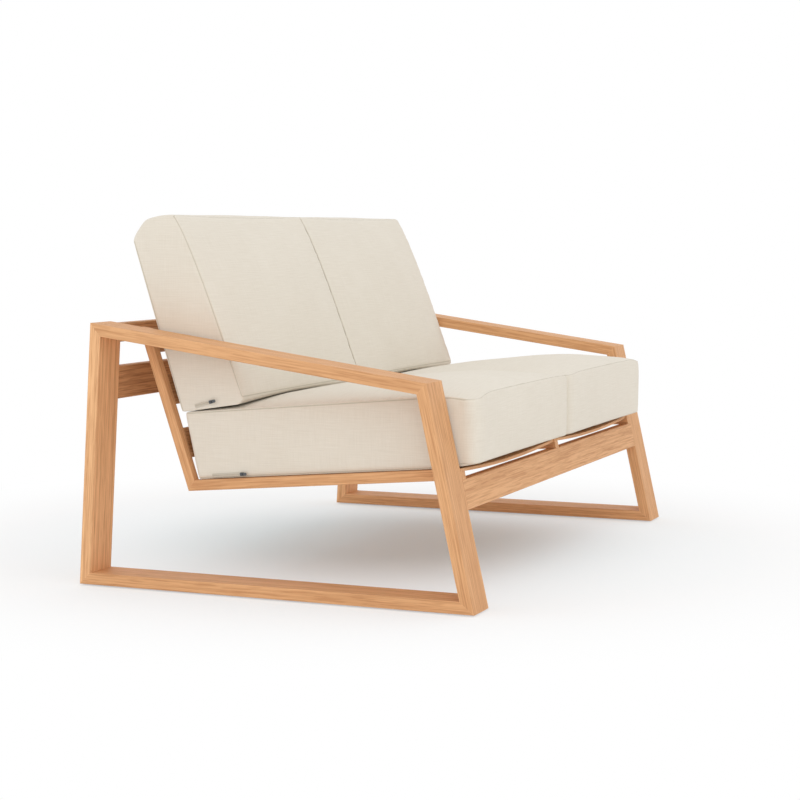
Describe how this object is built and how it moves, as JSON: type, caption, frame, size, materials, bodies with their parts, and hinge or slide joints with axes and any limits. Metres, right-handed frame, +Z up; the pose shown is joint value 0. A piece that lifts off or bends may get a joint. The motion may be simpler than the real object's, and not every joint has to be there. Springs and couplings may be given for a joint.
{
  "type": "patio loveseat",
  "caption": "Low two-seat outdoor loveseat: mitred hardwood side frames with sloping arms, slatted seat and back, and loose box cushions.",
  "frame": {"origin": "on the floor under the middle of the loveseat", "axes": "+X to the right seen from the front, the front faces -Y, +Z up"},
  "size_m": [1.4, 0.8888, 0.7806],
  "materials": {
    "oiled_wood": "oiled satin, straight grain",
    "joinery_wood": "bare planed beech",
    "cream_fabric": "woven outdoor fabric with fine slubs",
    "foam": "open-cell foam",
    "zip_grey": "matt dark grey",
    "screw_steel": "brushed",
    "glide_nylon": "matt black"
  },
  "bodies": {
    "frame": {"left_rear_leg": "oiled_wood", "left_arm": "oiled_wood", "left_front_leg": "oiled_wood", "left_runner": "oiled_wood", "right_rear_leg": "oiled_wood", "right_arm": "oiled_wood", "right_front_leg": "oiled_wood", "right_runner": "oiled_wood", "front_stretcher": "oiled_wood", "lower_crossbar": "oiled_wood", "upper_crossbar": "oiled_wood", "left_seat_rail": "oiled_wood", "centre_seat_rail": "oiled_wood", "right_seat_rail": "oiled_wood", "left_back_stile": "oiled_wood", "centre_back_stile": "oiled_wood", "right_back_stile": "oiled_wood", "back_top_rail": "oiled_wood", "left_seat_slat_1": "oiled_wood", "right_seat_slat_1": "oiled_wood", "left_seat_slat_2": "oiled_wood", "right_seat_slat_2": "oiled_wood", "left_seat_slat_3": "oiled_wood", "right_seat_slat_3": "oiled_wood", "left_seat_slat_4": "oiled_wood", "right_seat_slat_4": "oiled_wood", "left_seat_slat_5": "oiled_wood", "right_seat_slat_5": "oiled_wood", "left_seat_slat_6": "oiled_wood", "right_seat_slat_6": "oiled_wood", "left_seat_slat_7": "oiled_wood", "right_seat_slat_7": "oiled_wood", "left_back_slat_1": "oiled_wood", "right_back_slat_1": "oiled_wood", "left_back_slat_2": "oiled_wood", "right_back_slat_2": "oiled_wood", "mitre_tenons": "joinery_wood", "heel_tenons": "joinery_wood", "crossbar_dowels": "joinery_wood", "back_dowels": "joinery_wood", "rail_screws": "screw_steel", "runner_glides": "glide_nylon"},
    "left_seat_cushion": {"left_seat_cover": "cream_fabric", "left_seat_foam": "foam"},
    "left_seat_zip_slider": {"left_seat_zip_slider": "zip_grey"},
    "left_seat_zip_tab": {"left_seat_zip_tab": "zip_grey"},
    "left_back_cushion": {"left_back_cover": "cream_fabric", "left_back_foam": "foam"},
    "left_back_zip_slider": {"left_back_zip_slider": "zip_grey"},
    "left_back_zip_tab": {"left_back_zip_tab": "zip_grey"},
    "right_seat_cushion": {"right_seat_cover": "cream_fabric", "right_seat_foam": "foam"},
    "right_seat_zip_slider": {"right_seat_zip_slider": "zip_grey"},
    "right_seat_zip_tab": {"right_seat_zip_tab": "zip_grey"},
    "right_back_cushion": {"right_back_cover": "cream_fabric", "right_back_foam": "foam"},
    "right_back_zip_slider": {"right_back_zip_slider": "zip_grey"},
    "right_back_zip_tab": {"right_back_zip_tab": "zip_grey"}
  },
  "joints": [
    {"name": "left_seat_cushion_pull", "type": "slide", "parent": "frame", "child": "left_seat_cushion", "axis": [0, -0.9962, 0.0872], "range_m": [0, 0.66]},
    {"name": "left_seat_zip_slide", "type": "slide", "parent": "left_seat_cushion", "child": "left_seat_zip_slider", "axis": [0, 0.9962, -0.0872], "range_m": [0, 0.067]},
    {"name": "left_seat_tab_hinge", "type": "hinge", "parent": "left_seat_zip_slider", "child": "left_seat_zip_tab", "pos_m": [-0.61075, 0.10421, 0.24199], "axis": [0, -0.0872, -0.9962], "range_deg": [0, 180]},
    {"name": "left_back_cushion_lift", "type": "slide", "parent": "frame", "child": "left_back_cushion", "axis": [0, 0.3173, 0.9483], "range_m": [0, 0.3]},
    {"name": "left_back_zip_slide", "type": "slide", "parent": "left_back_cushion", "child": "left_back_zip_slider", "axis": [0, 0.9665, -0.2566], "range_m": [0, 0.036]},
    {"name": "left_back_tab_hinge", "type": "hinge", "parent": "left_back_zip_slider", "child": "left_back_zip_tab", "pos_m": [-0.61075, 0.17572, 0.39055], "axis": [0, -0.2566, -0.9665], "range_deg": [0, 180]},
    {"name": "right_seat_cushion_pull", "type": "slide", "parent": "frame", "child": "right_seat_cushion", "axis": [0, -0.9962, 0.0872], "range_m": [0, 0.66]},
    {"name": "right_seat_zip_slide", "type": "slide", "parent": "right_seat_cushion", "child": "right_seat_zip_slider", "axis": [0, 0.9962, -0.0872], "range_m": [0, 0.067]},
    {"name": "right_seat_tab_hinge", "type": "hinge", "parent": "right_seat_zip_slider", "child": "right_seat_zip_tab", "pos_m": [0.61075, 0.10421, 0.24199], "axis": [0, 0.0872, 0.9962], "range_deg": [0, 180]},
    {"name": "right_back_cushion_lift", "type": "slide", "parent": "frame", "child": "right_back_cushion", "axis": [0, 0.3173, 0.9483], "range_m": [0, 0.3]},
    {"name": "right_back_zip_slide", "type": "slide", "parent": "right_back_cushion", "child": "right_back_zip_slider", "axis": [0, 0.9665, -0.2566], "range_m": [0, 0.036]},
    {"name": "right_back_tab_hinge", "type": "hinge", "parent": "right_back_zip_slider", "child": "right_back_zip_tab", "pos_m": [0.61075, 0.17572, 0.39055], "axis": [0, 0.2566, 0.9665], "range_deg": [0, 180]}
  ]
}
